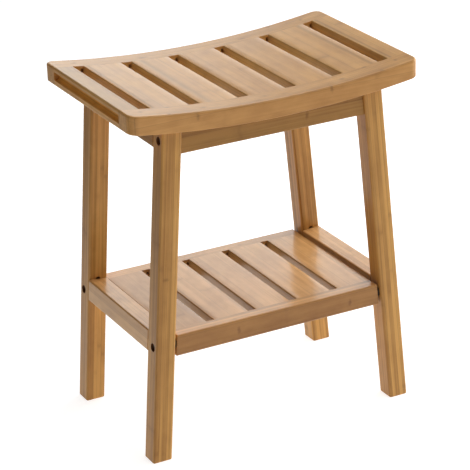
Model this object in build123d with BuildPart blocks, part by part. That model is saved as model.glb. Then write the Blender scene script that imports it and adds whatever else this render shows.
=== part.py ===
from build123d import *
import math
import os

# A slatted bamboo shower stool, in millimetres.
# X runs along the seat, -Y is the front and Z is up; the origin is on the floor, under the middle of the seat.

# Seat: a frame of two dished rails and two end boards, with slats between the rails.
SEAT_LENGTH = 392
SEAT_DEPTH = 250
SEAT_TOP = 460              # top of the seat at its two ends
SEAT_DISH = 15              # the middle of the seat lies this much lower
SEAT_RAIL_WIDTH = 31
SEAT_RAIL_HEIGHT = 23
SEAT_CORNER_RADIUS = 12     # in plan
SEAT_SLOTS = 6
SEAT_SLOT_WIDTH = 13.7
SEAT_SLOT_PITCH = 65.1
SEAT_SLAT_THICKNESS = 15
GRIP_HEIGHT = 11            # finger groove along the outside of each end board
GRIP_DEPTH = 8

# Legs and the pieces between a front leg and a back leg, all leaning inwards together.
LEG_SIZE = 26
LEG_CORNER = 3
LEG_OUTER_Y = 113
FOOT_OUTER_X = 184.2        # outer face of a leg, at the floor
LEAN = 4.63                 # degrees
CROSS_HEIGHT = 28           # height of an end apron and of a stretcher
STRETCHER_TOP = 171         # up the outer face of the leg
END_APRON_BOTTOM = 404.3    # up the outer face of the leg

# Long aprons under the seat.
APRON_THICKNESS = 18
APRON_OUTER_Y = 109
APRON_BOTTOM = 395.8

# Shelf: a flat frame with slats, hung between the two leaning ends.
SHELF_TOP = 164
SHELF_RAIL_WIDTH = 18
SHELF_RAIL_HEIGHT = 27.4
SHELF_OUTER_Y = 109.8
SHELF_SLOTS = 4
SHELF_SLOT_WIDTH = 10
SHELF_SLOT_PITCH = 58.7
SHELF_SLAT_THICKNESS = 12
SHELF_END_GAP = 3           # between the shelf and the legs

# Joinery.
GROOVE_DROP = 3.5           # from the top face down to the groove that holds the slats
GROOVE_HEIGHT = 5
SEAT_GROOVE_DEPTH = 6
SHELF_GROOVE_DEPTH = 5
GROOVE_STOP = 6             # solid wood left between a seat groove and the end of its rail
TONGUE_SHORT = 0.5          # a tongue stops this short of the bottom of its groove
SPACER_GAP = 3.8            # open end that a spacer leaves beside the next slat
TENON_THICKNESS = 7
TENON_HEIGHT = 22
TENON_LENGTH = 12
MORTISE_OVERCUT = 6         # the stretcher mortise runs this far above its tenon

# Hardware.
BOLT_Y = 102
SHELF_BOLT_Z = 152.5
APRON_BOLT_Z = 415
BOLT_DIAMETER = 6
BOLT_CLEARANCE = 6.5
BOLT_HEAD = 10
BOLT_HEAD_HEIGHT = 6
BOLT_SINK = 9               # from the outer face of the leg down to the seat of the bolt head
COUNTERBORE = 10.6
HEX_KEY = 5
NUT_DIAMETER = 10
NUT_LENGTH = 12
NUT_INSET = 28              # from the end of a rail to the centre of its barrel nut
BOLT_PAST_NUT = 8
WASHER_DIAMETER = 13
SCREW_XS = (-80, 0, 80)
SCREW_DIAMETER = 4
SCREW_HEAD = 7.4
SCREW_HEAD_HEIGHT = 2.6
SCREW_SINK = 12             # depth of the counterbore under an apron
SCREW_BITE = 12             # depth of the screw in the seat rail

# Rounded edges.
SEAT_ARRIS = 2.5
SLAT_ARRIS = 1.2
RAIL_ARRIS = 1.8

# Worked out from the sizes above.
DISH_RADIUS = ((SEAT_LENGTH / 2) ** 2 + SEAT_DISH**2) / (2 * SEAT_DISH)
DISH_CENTRE = SEAT_TOP - SEAT_DISH + DISH_RADIUS
SEAT_INNER_Y = SEAT_DEPTH / 2 - SEAT_RAIL_WIDTH
SEAT_SLOT_XS = [(i - (SEAT_SLOTS - 1) / 2) * SEAT_SLOT_PITCH for i in range(SEAT_SLOTS)]
SHELF_INNER_Y = SHELF_OUTER_Y - SHELF_RAIL_WIDTH
SHELF_SLOT_XS = [(i - (SHELF_SLOTS - 1) / 2) * SHELF_SLOT_PITCH for i in range(SHELF_SLOTS)]
SHELF_BOTTOM = SHELF_TOP - SHELF_RAIL_HEIGHT
LEG_INNER_Y = LEG_OUTER_Y - LEG_SIZE
LEG_Y = LEG_OUTER_Y - LEG_SIZE / 2
SIN_LEAN = math.sin(math.radians(LEAN))
COS_LEAN = math.cos(math.radians(LEAN))
TAN_LEAN = SIN_LEAN / COS_LEAN

# The leaning left end. On LEFT_FLOOR x runs inwards from the outer face of the legs and z runs up the legs;
# on LEFT_SIDE x runs inwards, y runs up the legs and the normal points to the front.
LEFT_FLOOR = Plane(origin=(-FOOT_OUTER_X, 0, 0), x_dir=(COS_LEAN, 0, -SIN_LEAN), z_dir=(SIN_LEAN, 0, COS_LEAN))
LEFT_SIDE = Plane(origin=(-FOOT_OUTER_X, 0, 0), x_dir=(COS_LEAN, 0, -SIN_LEAN), z_dir=(0, -1, 0))


def outer_x(z):
    """Distance from the middle of the stool to the outer face of a leg, at height z."""
    return FOOT_OUTER_X - z * TAN_LEAN


def inner_x(z):
    """Distance from the middle of the stool to the inner face of a leg, at height z."""
    return outer_x(z) - LEG_SIZE / COS_LEAN


def seat_height(x):
    """Height of the top of the seat at x."""
    return DISH_CENTRE - math.sqrt(DISH_RADIUS**2 - x**2)


def dished_strip(x_from, x_to, top, bottom):
    """Draw the strip between two depths under the seat's curve, on a sketch that lies in XZ."""
    with Locations((0, DISH_CENTRE)):
        Circle(DISH_RADIUS + bottom)
        Circle(DISH_RADIUS + top, mode=Mode.SUBTRACT)
    with Locations(((x_from + x_to) / 2, SEAT_TOP)):
        Rectangle(x_to - x_from, 4 * SEAT_RAIL_HEIGHT, mode=Mode.INTERSECT)


# Everything above the underside of the seat rails: it is cut away from what stands under the seat.
with BuildPart() as seat_space:
    with BuildSketch(Plane.XZ):
        with Locations((0, DISH_CENTRE)):
            Circle(DISH_RADIUS + SEAT_RAIL_HEIGHT)
    extrude(amount=SEAT_DEPTH, both=True)

# ---------------------------------------------------------------- seat

with BuildPart() as seat_front_rail:
    with BuildSketch(Plane.XZ.offset(SEAT_INNER_Y)):
        dished_strip(-SEAT_LENGTH / 2, SEAT_LENGTH / 2, 0, SEAT_RAIL_HEIGHT)
    extrude(amount=SEAT_RAIL_WIDTH)
    fillet(seat_front_rail.edges().filter_by(Axis.Z).group_by(Axis.Y)[0], SEAT_CORNER_RADIUS)
    dished = seat_front_rail.faces().sort_by(SortBy.AREA)[-4:].sort_by(Axis.Z)
    # every edge of the top and the bottom but the one against the slats
    fillet(dished[-1].edges().sort_by(Axis.Y)[:-1], SEAT_ARRIS)
    dished = seat_front_rail.faces().sort_by(SortBy.AREA)[-4:].sort_by(Axis.Z)
    fillet(dished[0].edges().sort_by(Axis.Y)[:-1], SLAT_ARRIS)
    groove_end = SEAT_LENGTH / 2 - GROOVE_STOP
    with BuildSketch(Plane.XZ.offset(SEAT_INNER_Y)):
        dished_strip(-groove_end, groove_end, GROOVE_DROP, GROOVE_DROP + GROOVE_HEIGHT)
    extrude(amount=SEAT_GROOVE_DEPTH, mode=Mode.SUBTRACT)
    for x in SCREW_XS:
        with Locations((x, -APRON_OUTER_Y + APRON_THICKNESS / 2, seat_height(x) - SEAT_RAIL_HEIGHT)):
            Cylinder(SCREW_DIAMETER / 2, 2 * SCREW_BITE, mode=Mode.SUBTRACT)

with BuildPart() as seat_back_rail:
    mirror(seat_front_rail.part, about=Plane.XZ)


def make_seat_slat(x_from, x_to):
    """A slat between two slots, with a tongue on each end for the grooves in the rails."""
    with BuildPart() as slat:
        with BuildSketch(Plane.XZ):
            dished_strip(x_from, x_to, 0, SEAT_SLAT_THICKNESS)
        extrude(amount=SEAT_INNER_Y, both=True)
        fillet(slat.edges().filter_by(Axis.Y).sort_by(Axis.Z)[-2:], SLAT_ARRIS)
        with BuildSketch(Plane.XZ):
            dished_strip(x_from, x_to, GROOVE_DROP, GROOVE_DROP + GROOVE_HEIGHT)
        extrude(amount=SEAT_INNER_Y + SEAT_GROOVE_DEPTH - TONGUE_SHORT, both=True)
    return slat.part


seat_slats = []
for left, right in zip(SEAT_SLOT_XS[:-1], SEAT_SLOT_XS[1:]):
    seat_slats.append(make_seat_slat(left + SEAT_SLOT_WIDTH / 2, right - SEAT_SLOT_WIDTH / 2))

with BuildPart() as seat_left_end_board:
    board_end = SEAT_SLOT_XS[0] - SEAT_SLOT_WIDTH / 2
    with BuildSketch(Plane.XZ):
        dished_strip(-SEAT_LENGTH / 2, board_end, 0, SEAT_RAIL_HEIGHT)
    extrude(amount=SEAT_INNER_Y, both=True)
    along = seat_left_end_board.edges().filter_by(Axis.Y)
    fillet(along.group_by(Axis.X)[0].sort_by(Axis.Z)[-1], SEAT_ARRIS)
    along = seat_left_end_board.edges().filter_by(Axis.Y)
    fillet(along.group_by(Axis.X)[0].sort_by(Axis.Z)[0], SLAT_ARRIS)
    along = seat_left_end_board.edges().filter_by(Axis.Y)
    fillet(along.group_by(Axis.X)[-1].sort_by(Axis.Z)[-1], SLAT_ARRIS)
    # the finger groove, with a round bottom
    with BuildSketch(Plane.XZ):
        with Locations((-SEAT_LENGTH / 2, SEAT_TOP - SEAT_RAIL_HEIGHT / 2)):
            SlotOverall(2 * GRIP_DEPTH, GRIP_HEIGHT)
    extrude(amount=SEAT_INNER_Y, both=True, mode=Mode.SUBTRACT)
    with BuildSketch(Plane.XZ):
        dished_strip(-SEAT_LENGTH / 2 + GRIP_DEPTH + 2, board_end, GROOVE_DROP, GROOVE_DROP + GROOVE_HEIGHT)
    extrude(amount=SEAT_INNER_Y + SEAT_GROOVE_DEPTH - TONGUE_SHORT, both=True)

with BuildPart() as seat_right_end_board:
    mirror(seat_left_end_board.part, about=Plane.YZ)

# Spacers fill the groove between two slats, each pushed up against the slat on its left.
with BuildPart() as seat_spacers:
    for x in SEAT_SLOT_XS:
        for plane in (Plane.XZ.offset(SEAT_INNER_Y), Plane.XZ.offset(-SEAT_INNER_Y - SEAT_GROOVE_DEPTH)):
            with BuildSketch(plane):
                spacer_end = x + SEAT_SLOT_WIDTH / 2 - SPACER_GAP
                dished_strip(x - SEAT_SLOT_WIDTH / 2, spacer_end, GROOVE_DROP, GROOVE_DROP + GROOVE_HEIGHT)
            extrude(amount=SEAT_GROOVE_DEPTH)

# ---------------------------------------------------------------- legs

with BuildPart() as leg_front_left:
    with BuildSketch(LEFT_FLOOR.offset(-LEG_SIZE)):
        with Locations((LEG_SIZE / 2, -LEG_Y)):
            RectangleRounded(LEG_SIZE, LEG_SIZE, LEG_CORNER)
    extrude(amount=SEAT_TOP + LEG_SIZE)
    split(bisect_by=Plane.XY, keep=Keep.TOP)
    chamfer(leg_front_left.edges().group_by(Axis.Z)[0], 1)
    add(seat_space.part, mode=Mode.SUBTRACT)
    # the mortise for the stretcher is cut long, so its round end shows above the stretcher
    stretcher_mortise = TENON_HEIGHT + MORTISE_OVERCUT
    stretcher_middle = STRETCHER_TOP - CROSS_HEIGHT / 2
    apron_middle = END_APRON_BOTTOM + CROSS_HEIGHT / 2
    with BuildSketch(LEFT_SIDE.offset(LEG_INNER_Y)):
        with Locations((LEG_SIZE / 2, stretcher_middle + MORTISE_OVERCUT / 2)):
            SlotOverall(stretcher_mortise, TENON_THICKNESS, rotation=90)
        with Locations((LEG_SIZE / 2, apron_middle)):
            SlotOverall(TENON_HEIGHT, TENON_THICKNESS, rotation=90)
    extrude(amount=TENON_LENGTH, mode=Mode.SUBTRACT)
    # the bolts run level, so their counterbores are drilled level into the leaning face
    for z in (SHELF_BOLT_Z, APRON_BOLT_Z):
        with Locations(Location((-outer_x(z), -BOLT_Y, z), (0, 90, 0))):
            Cylinder(BOLT_CLEARANCE / 2, 3 * LEG_SIZE, mode=Mode.SUBTRACT)
            Cylinder(COUNTERBORE / 2, 2 * BOLT_SINK, mode=Mode.SUBTRACT)

with BuildPart() as leg_back_left:
    mirror(leg_front_left.part, about=Plane.XZ)

with BuildPart() as leg_front_right:
    mirror(leg_front_left.part, about=Plane.YZ)

with BuildPart() as leg_back_right:
    mirror(leg_back_left.part, about=Plane.YZ)

# ---------------------------------------------------------------- end aprons and stretchers

with BuildPart() as stretcher_left:
    with BuildSketch(LEFT_SIDE):
        with Locations((LEG_SIZE / 2, stretcher_middle)):
            RectangleRounded(LEG_SIZE, CROSS_HEIGHT, RAIL_ARRIS)
    extrude(amount=LEG_INNER_Y, both=True)
    with BuildSketch(LEFT_SIDE):
        with Locations((LEG_SIZE / 2, stretcher_middle)):
            SlotOverall(TENON_HEIGHT, TENON_THICKNESS, rotation=90)
    extrude(amount=LEG_INNER_Y + TENON_LENGTH - TONGUE_SHORT, both=True)

with BuildPart() as stretcher_right:
    mirror(stretcher_left.part, about=Plane.YZ)

with BuildPart() as apron_left:
    with BuildSketch(LEFT_SIDE):
        with Locations((LEG_SIZE / 2, apron_middle)):
            RectangleRounded(LEG_SIZE, CROSS_HEIGHT, RAIL_ARRIS)
    extrude(amount=LEG_INNER_Y, both=True)
    add(seat_space.part, mode=Mode.SUBTRACT)
    with BuildSketch(LEFT_SIDE):
        with Locations((LEG_SIZE / 2, apron_middle)):
            SlotOverall(TENON_HEIGHT, TENON_THICKNESS, rotation=90)
    extrude(amount=LEG_INNER_Y + TENON_LENGTH - TONGUE_SHORT, both=True)

with BuildPart() as apron_right:
    mirror(apron_left.part, about=Plane.YZ)

# ---------------------------------------------------------------- long aprons


def bore_rail_ends(rail_end, outer_y, z, underside):
    """Bore both ends of a rail for a bolt, and its underside for the barrel nut the bolt pulls against."""
    for side in (-1, 1):
        with Locations(Location((side * rail_end, outer_y, z), (0, 90, 0))):
            Cylinder(BOLT_CLEARANCE / 2, 2 * (NUT_INSET + BOLT_PAST_NUT + 1), mode=Mode.SUBTRACT)
        pocket = z + NUT_LENGTH / 2 - underside
        with Locations((side * (rail_end - NUT_INSET), outer_y, underside + pocket / 2)):
            Cylinder(NUT_DIAMETER / 2, pocket, mode=Mode.SUBTRACT)


with BuildPart() as apron_front:
    apron_over = SEAT_TOP - SEAT_DISH
    with BuildSketch(Plane.XZ.offset(APRON_OUTER_Y - APRON_THICKNESS)):
        with BuildLine():
            Polyline(
                (-inner_x(APRON_BOTTOM), APRON_BOTTOM),
                (inner_x(APRON_BOTTOM), APRON_BOTTOM),
                (inner_x(apron_over), apron_over),
                (-inner_x(apron_over), apron_over),
                close=True,
            )
        make_face()
    extrude(amount=APRON_THICKNESS)
    fillet(apron_front.edges().filter_by(Axis.X).group_by(Axis.Z)[0], RAIL_ARRIS)
    add(seat_space.part, mode=Mode.SUBTRACT)
    bore_rail_ends(inner_x(APRON_BOLT_Z), -BOLT_Y, APRON_BOLT_Z, APRON_BOTTOM)
    for x in SCREW_XS:
        with Locations((x, -APRON_OUTER_Y + APRON_THICKNESS / 2, APRON_BOTTOM)):
            Cylinder(SCREW_DIAMETER / 2, 4 * SEAT_RAIL_HEIGHT, mode=Mode.SUBTRACT)
            Cylinder(SCREW_HEAD / 2, 2 * SCREW_SINK, mode=Mode.SUBTRACT)

with BuildPart() as apron_back:
    mirror(apron_front.part, about=Plane.XZ)

# ---------------------------------------------------------------- shelf

with BuildPart() as shelf_front_rail:
    with BuildSketch(Plane.XZ.offset(SHELF_INNER_Y)):
        with BuildLine():
            Polyline(
                (-inner_x(SHELF_BOTTOM) + SHELF_END_GAP, SHELF_BOTTOM),
                (inner_x(SHELF_BOTTOM) - SHELF_END_GAP, SHELF_BOTTOM),
                (inner_x(SHELF_TOP) - SHELF_END_GAP, SHELF_TOP),
                (-inner_x(SHELF_TOP) + SHELF_END_GAP, SHELF_TOP),
                close=True,
            )
        make_face()
    extrude(amount=SHELF_RAIL_WIDTH)
    fillet(shelf_front_rail.edges().filter_by(Axis.X).group_by(Axis.Y)[0], RAIL_ARRIS)
    fillet(shelf_front_rail.edges().filter_by(Axis.Y).sort_by(Axis.Z)[-2:], SLAT_ARRIS)
    tongue_top = SHELF_TOP - GROOVE_DROP
    with Locations((0, -SHELF_INNER_Y - SHELF_GROOVE_DEPTH / 2, tongue_top - GROOVE_HEIGHT / 2)):
        shelf_slat_end = SHELF_SLOT_XS[-1] + SHELF_SLOT_PITCH - SHELF_SLOT_WIDTH / 2
        Box(2 * shelf_slat_end, SHELF_GROOVE_DEPTH, GROOVE_HEIGHT, mode=Mode.SUBTRACT)
    bore_rail_ends(inner_x(SHELF_BOLT_Z) - SHELF_END_GAP, -BOLT_Y, SHELF_BOLT_Z, SHELF_BOTTOM)

with BuildPart() as shelf_back_rail:
    mirror(shelf_front_rail.part, about=Plane.XZ)


def make_shelf_slat(middle):
    """A flat shelf slat with a tongue on each end."""
    width = SHELF_SLOT_PITCH - SHELF_SLOT_WIDTH
    with BuildPart() as slat:
        with Locations((middle, 0, SHELF_TOP - SHELF_SLAT_THICKNESS / 2)):
            Box(width, 2 * SHELF_INNER_Y, SHELF_SLAT_THICKNESS)
        fillet(slat.edges().filter_by(Axis.Y).group_by(Axis.Z)[-1], SLAT_ARRIS)
        with Locations((middle, 0, tongue_top - GROOVE_HEIGHT / 2)):
            Box(width, 2 * (SHELF_INNER_Y + SHELF_GROOVE_DEPTH - TONGUE_SHORT), GROOVE_HEIGHT)
    return slat.part


shelf_slats = [make_shelf_slat((i - SHELF_SLOTS / 2) * SHELF_SLOT_PITCH) for i in range(SHELF_SLOTS + 1)]

with BuildPart() as shelf_spacers:
    for x in SHELF_SLOT_XS:
        for side in (-1, 1):
            spacer_y = side * (SHELF_INNER_Y + SHELF_GROOVE_DEPTH / 2)
            with Locations((x - SPACER_GAP / 2, spacer_y, tongue_top - GROOVE_HEIGHT / 2)):
                Box(SHELF_SLOT_WIDTH - SPACER_GAP, SHELF_GROOVE_DEPTH, GROOVE_HEIGHT)

# ---------------------------------------------------------------- hardware

# Each bolt joint as (height, gap between the leg and the rail).
BOLT_JOINTS = ((SHELF_BOLT_Z, SHELF_END_GAP), (APRON_BOLT_Z, 0))

# A level bolt in a leaning leg: its head sits where the counterbore ends on the bolt's own line.
with BuildPart() as frame_bolts:
    for z, gap in BOLT_JOINTS:
        seat_x = outer_x(z) - BOLT_SINK
        tip_x = inner_x(z) - gap - NUT_INSET - BOLT_PAST_NUT
        for side in (-1, 1):
            for y in (-BOLT_Y, BOLT_Y):
                with Locations(Location((side * (seat_x + tip_x) / 2, y, z), (0, 90, 0))):
                    Cylinder(BOLT_DIAMETER / 2, seat_x - tip_x)
                with Locations(Location((side * (seat_x + BOLT_HEAD_HEIGHT / 2), y, z), (0, 90, 0))):
                    Cylinder(BOLT_HEAD / 2, BOLT_HEAD_HEIGHT)
                # the key socket goes half way into the head
                with BuildSketch(Plane.YZ.offset(side * (seat_x + BOLT_HEAD_HEIGHT / 2))):
                    with Locations((y, z)):
                        RegularPolygon(HEX_KEY / 2, 6, major_radius=False)
                extrude(amount=side * BOLT_HEAD_HEIGHT, mode=Mode.SUBTRACT)

with BuildPart() as barrel_nuts:
    for z, gap in BOLT_JOINTS:
        nut_x = inner_x(z) - gap - NUT_INSET
        with Locations((-nut_x, -BOLT_Y, z), (nut_x, -BOLT_Y, z), (-nut_x, BOLT_Y, z), (nut_x, BOLT_Y, z)):
            Cylinder(NUT_DIAMETER / 2, NUT_LENGTH)
            Cylinder(BOLT_DIAMETER / 2, 2 * NUT_DIAMETER, rotation=(0, 90, 0), mode=Mode.SUBTRACT)

# Washers hold the shelf rails off the leaning legs.
with BuildPart() as shelf_washers:
    with BuildSketch(LEFT_SIDE.offset(BOLT_Y)):
        with Locations((LEG_SIZE + SHELF_END_GAP * COS_LEAN / 2, (SHELF_BOLT_Z + LEG_SIZE * SIN_LEAN) / COS_LEAN)):
            Rectangle(SHELF_END_GAP * COS_LEAN, WASHER_DIAMETER)
    extrude(amount=WASHER_DIAMETER / 2, both=True)
    chamfer(shelf_washers.edges().filter_by(Axis.X, tolerance=10), 3)
    with Locations(Location((-inner_x(SHELF_BOLT_Z), -BOLT_Y, SHELF_BOLT_Z), (0, 90, 0))):
        Cylinder(BOLT_CLEARANCE / 2, 4 * SHELF_END_GAP, mode=Mode.SUBTRACT)
    mirror(about=Plane.XZ)
    mirror(about=Plane.YZ)

with BuildPart() as seat_screws:
    for x in SCREW_XS:
        head_z = APRON_BOTTOM + SCREW_SINK
        tip_z = seat_height(x) - SEAT_RAIL_HEIGHT + SCREW_BITE
        for y in (-APRON_OUTER_Y + APRON_THICKNESS / 2, APRON_OUTER_Y - APRON_THICKNESS / 2):
            with Locations((x, y, (head_z + tip_z) / 2)):
                Cylinder(SCREW_DIAMETER / 2, tip_z - head_z)
            with Locations((x, y, head_z - SCREW_HEAD_HEIGHT / 2)):
                Cylinder(SCREW_HEAD / 2, SCREW_HEAD_HEIGHT)
            with Locations((x, y, head_z - SCREW_HEAD_HEIGHT)):
                Box(SCREW_HEAD * 0.6, 0.9, 1.6, mode=Mode.SUBTRACT)
                Box(0.9, SCREW_HEAD * 0.6, 1.6, mode=Mode.SUBTRACT)

# ---------------------------------------------------------------- export

nodes = {
    "seat_front_rail": seat_front_rail.part,
    "seat_back_rail": seat_back_rail.part,
    "seat_left_end_board": seat_left_end_board.part,
    "seat_right_end_board": seat_right_end_board.part,
    "seat_spacers": seat_spacers.part,
    "leg_front_left": leg_front_left.part,
    "leg_front_right": leg_front_right.part,
    "leg_back_left": leg_back_left.part,
    "leg_back_right": leg_back_right.part,
    "apron_front": apron_front.part,
    "apron_back": apron_back.part,
    "apron_left": apron_left.part,
    "apron_right": apron_right.part,
    "stretcher_left": stretcher_left.part,
    "stretcher_right": stretcher_right.part,
    "shelf_front_rail": shelf_front_rail.part,
    "shelf_back_rail": shelf_back_rail.part,
    "shelf_spacers": shelf_spacers.part,
    "shelf_washers": shelf_washers.part,
    "frame_bolts": frame_bolts.part,
    "barrel_nuts": barrel_nuts.part,
    "seat_screws": seat_screws.part,
}
for i, slat in enumerate(seat_slats, start=1):
    nodes[f"seat_slat_{i}"] = slat
for i, slat in enumerate(shelf_slats, start=1):
    nodes[f"shelf_slat_{i}"] = slat

os.makedirs("parts", exist_ok=True)
for name, part in nodes.items():
    part.label = name
    export_step(part, f"parts/{name}.step")
print(len(nodes), "nodes exported")
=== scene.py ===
# %% [markdown]
# # A slatted bamboo shower stool
#
# The real stool is made of laminated bamboo boards, glued and bolted together: a dished seat with slats,
# four leaning legs and a slatted shelf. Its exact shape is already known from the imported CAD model, so
# this lesson loads that model as a fixed frame and works on what CAD doesn't give: the look of lacquered
# bamboo, finely finished slats and screws, and soft studio light. Places and sizes are read from the
# frame wherever it has them, and the few others are named values where they are first needed.

# %% Load the frame
import math

import bpy
from mathutils import Matrix, Vector


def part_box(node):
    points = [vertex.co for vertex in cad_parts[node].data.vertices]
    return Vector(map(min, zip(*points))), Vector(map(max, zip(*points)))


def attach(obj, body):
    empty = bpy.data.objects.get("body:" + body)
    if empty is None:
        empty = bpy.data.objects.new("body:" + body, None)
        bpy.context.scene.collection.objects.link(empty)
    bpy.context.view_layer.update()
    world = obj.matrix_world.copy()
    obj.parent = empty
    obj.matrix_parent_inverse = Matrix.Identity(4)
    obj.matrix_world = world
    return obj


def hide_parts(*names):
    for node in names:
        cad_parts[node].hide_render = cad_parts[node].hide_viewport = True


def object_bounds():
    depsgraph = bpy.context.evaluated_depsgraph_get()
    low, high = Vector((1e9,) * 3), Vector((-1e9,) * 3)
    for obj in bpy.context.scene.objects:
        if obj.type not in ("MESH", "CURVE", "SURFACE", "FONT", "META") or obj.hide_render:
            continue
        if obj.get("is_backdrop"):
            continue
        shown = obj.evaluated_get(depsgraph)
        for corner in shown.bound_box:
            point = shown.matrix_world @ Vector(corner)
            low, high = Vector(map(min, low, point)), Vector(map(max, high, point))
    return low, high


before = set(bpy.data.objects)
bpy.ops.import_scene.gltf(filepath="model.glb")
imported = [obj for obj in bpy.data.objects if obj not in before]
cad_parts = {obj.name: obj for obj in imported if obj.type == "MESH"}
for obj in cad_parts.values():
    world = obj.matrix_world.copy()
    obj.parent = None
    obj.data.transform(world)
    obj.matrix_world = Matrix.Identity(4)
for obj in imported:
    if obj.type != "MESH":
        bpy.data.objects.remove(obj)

MM = 0.001
cad_low, cad_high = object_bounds()
print("CAD box in mm:", [round(v / MM, 1) for v in cad_high - cad_low])

# %% [markdown]
# ## The camera
#
# A stool is usually shown from a little above and to one side. A long lens far away keeps its upright
# lines nearly parallel, where a wide lens close by would make the near leg look too big. The camera turns
# around a target near the middle of the stool, and leans over by two degrees, as a camera held in the
# hand does.

# %% Camera
CAMERA_AZIMUTH = math.radians(-27.18)
CAMERA_ELEVATION = math.radians(22.74)
CAMERA_ROLL = math.radians(-2.05)
CAMERA_DISTANCE = 2.7447
CAMERA_LENS = 165.1
CAMERA_SENSOR = 36
CAMERA_SHIFT = -0.007
CAMERA_TARGET = Vector((0.0026, 0, 0.2251))

level = math.cos(CAMERA_ELEVATION)
away = Vector((
    level * math.sin(CAMERA_AZIMUTH),
    -level * math.cos(CAMERA_AZIMUTH),
    math.sin(CAMERA_ELEVATION),
))

camera_data = bpy.data.cameras.new("camera")
camera_data.lens = CAMERA_LENS
camera_data.sensor_width = CAMERA_SENSOR
camera_data.shift_x = CAMERA_SHIFT
camera = bpy.data.objects.new("camera", camera_data)
bpy.context.scene.collection.objects.link(camera)
camera.location = CAMERA_TARGET + CAMERA_DISTANCE * away
turn = (-away).to_track_quat("-Z", "Y").to_matrix() @ Matrix.Rotation(CAMERA_ROLL, 3, "Z")
camera.rotation_euler = turn.to_euler()
bpy.context.scene.camera = camera
print("camera at", [round(v, 3) for v in camera.location])

# %% [markdown]
# ## Nodes with few words
#
# Materials and Geometry Nodes are both trees of nodes. Adding each node by hand takes many lines, so
# small helpers do it. The first adds any node and sets or links its inputs. The others use it for sums,
# vectors, colours and noise, and give back the socket that the next node needs.


# %% Helpers for node trees
def add_node(tree, kind, inputs=None, **settings):
    """Add a node, change its settings, and give each named input a value or a link."""
    made = tree.nodes.new(kind)
    for name, value in settings.items():
        setattr(made, name, value)
    for key, value in (inputs or {}).items():
        if isinstance(value, bpy.types.NodeSocket):
            tree.links.new(value, made.inputs[key])
        else:
            made.inputs[key].default_value = value
    return made


def calc(tree, operation, *values):
    """Add a Math node and return its result."""
    return add_node(tree, "ShaderNodeMath", dict(enumerate(values)), operation=operation).outputs[0]


def calc_vector(tree, operation, *values):
    """Add a Vector Math node and return its result, which is a number for a length or a dot product."""
    made = add_node(tree, "ShaderNodeVectorMath", dict(enumerate(values)), operation=operation)
    return made.outputs["Value" if operation in ("LENGTH", "DOT_PRODUCT") else "Vector"]


def add_vector(tree, x=0.0, y=0.0, z=0.0):
    """Join three numbers or sockets into a vector."""
    return add_node(tree, "ShaderNodeCombineXYZ", {0: x, 1: y, 2: z}).outputs[0]


def split_vector(tree, vector):
    """Return the X, Y and Z sockets of a vector."""
    return add_node(tree, "ShaderNodeSeparateXYZ", {0: vector}).outputs


def fade(tree, value, full, none):
    """Return 1 where the value is at full, 0 where it is at none, and a smooth step between them."""
    inputs = {"Value": value, "From Min": none, "From Max": full}
    made = add_node(tree, "ShaderNodeMapRange", inputs, interpolation_type="SMOOTHSTEP")
    return made.outputs["Result"]


def blend_colour(tree, factor, first, second):
    """Mix two colours by a factor from 0 to 1."""
    inputs = {0: factor, 6: first, 7: second}
    return add_node(tree, "ShaderNodeMix", inputs, data_type="RGBA").outputs[2]


def noise(tree, place, scale, detail, roughness=0.5):
    """Add soft noise from 0 to 1; the scale is in cycles per metre."""
    inputs = {"Vector": place, "Scale": scale, "Detail": detail, "Roughness": roughness}
    return add_node(tree, "ShaderNodeTexNoise", inputs).outputs[0]


def stretched_noise(tree, place, along, across, detail=2.0, roughness=0.5):
    """Noise that changes slowly along X and quickly across it; both scales are in cycles per metre."""
    scaled = calc_vector(tree, "MULTIPLY", place, (along, across, across))
    return noise(tree, scaled, 1.0, detail, roughness)


# %% [markdown]
# ## Laminated bamboo
#
# Bamboo boards aren't sawn from one trunk. The hollow stalk is split into thin strips, which are planed,
# steamed and glued side by side and in layers. So a real board shows four things: strips of slightly
# different brown, the fine dark lines of the fibres, a brown mark wherever a strip has one of the stalk's
# nodes, and soft clouds where the lacquer and the steaming took differently. A picture of bamboo could be
# wrapped around each board, but it would stretch on the dished seat and stop at every edge. A solid
# pattern, worked out at each point of space, runs through the board as the real strips do: stripes on one
# face, wide strips on the next and dots on the end grain.
#
# The pattern is a node group, so all boards share it. Its vector has X along the fibres, Y across a strip
# and Z through the layers.

# %% The strips of a board
STRIP_THICKNESS = 5.2 * MM
STRIP_WIDTH = 21 * MM
LAYER_STAGGER = 0.39

bamboo = bpy.data.node_groups.new("laminated_bamboo", "ShaderNodeTree")
for name, kind in (("Vector", "Vector"), ("Light", "Color"), ("Dark", "Color")):
    bamboo.interface.new_socket(name, in_out="INPUT", socket_type="NodeSocket" + kind)
for name in ("Strips", "Clouds", "Node Marks", "Own Mark"):
    bamboo.interface.new_socket(name, in_out="INPUT", socket_type="NodeSocketFloat")
for name, kind in (("Color", "Color"), ("Roughness", "Float"), ("Height", "Float")):
    bamboo.interface.new_socket(name, in_out="OUTPUT", socket_type="NodeSocket" + kind)

given = bamboo.nodes.new("NodeGroupInput").outputs
place = given["Vector"]
axes = split_vector(bamboo, place)

layer_place = calc(bamboo, "DIVIDE", axes["Z"], STRIP_THICKNESS)
layer = calc(bamboo, "FLOOR", layer_place)
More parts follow.
